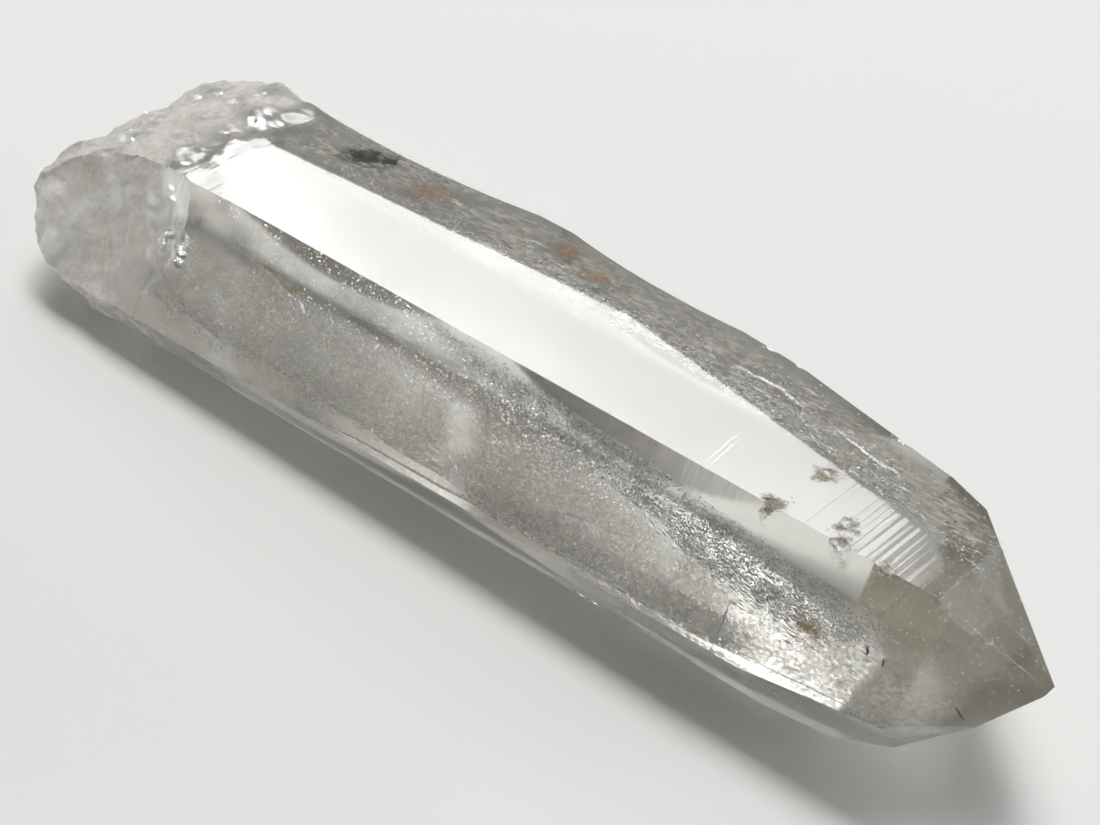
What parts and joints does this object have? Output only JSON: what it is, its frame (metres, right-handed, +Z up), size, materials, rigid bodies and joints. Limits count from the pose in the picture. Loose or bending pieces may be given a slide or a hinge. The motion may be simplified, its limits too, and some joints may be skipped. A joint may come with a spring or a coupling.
{
  "type": "quartz crystal",
  "caption": "Clear six-sided quartz point lying on a long face: a flattened prism with flat tip faces, small chips and a rough broken base.",
  "frame": {"origin": "centre of the bounding box in plan, on the surface that the crystal rests on", "axes": "+X along the crystal's c axis towards its tip, +Z up, normal to the wide top face, +Y away from the sloping front face that the viewer sees"},
  "size_m": [0.1028, 0.026, 0.0156],
  "materials": {
    "quartz": "clear, glassy natural crystal faces, with cloudy veils inside and a frosted broken end"
  },
  "bodies": {
    "root": {"quartz_crystal": "quartz"}
  },
  "joints": []
}
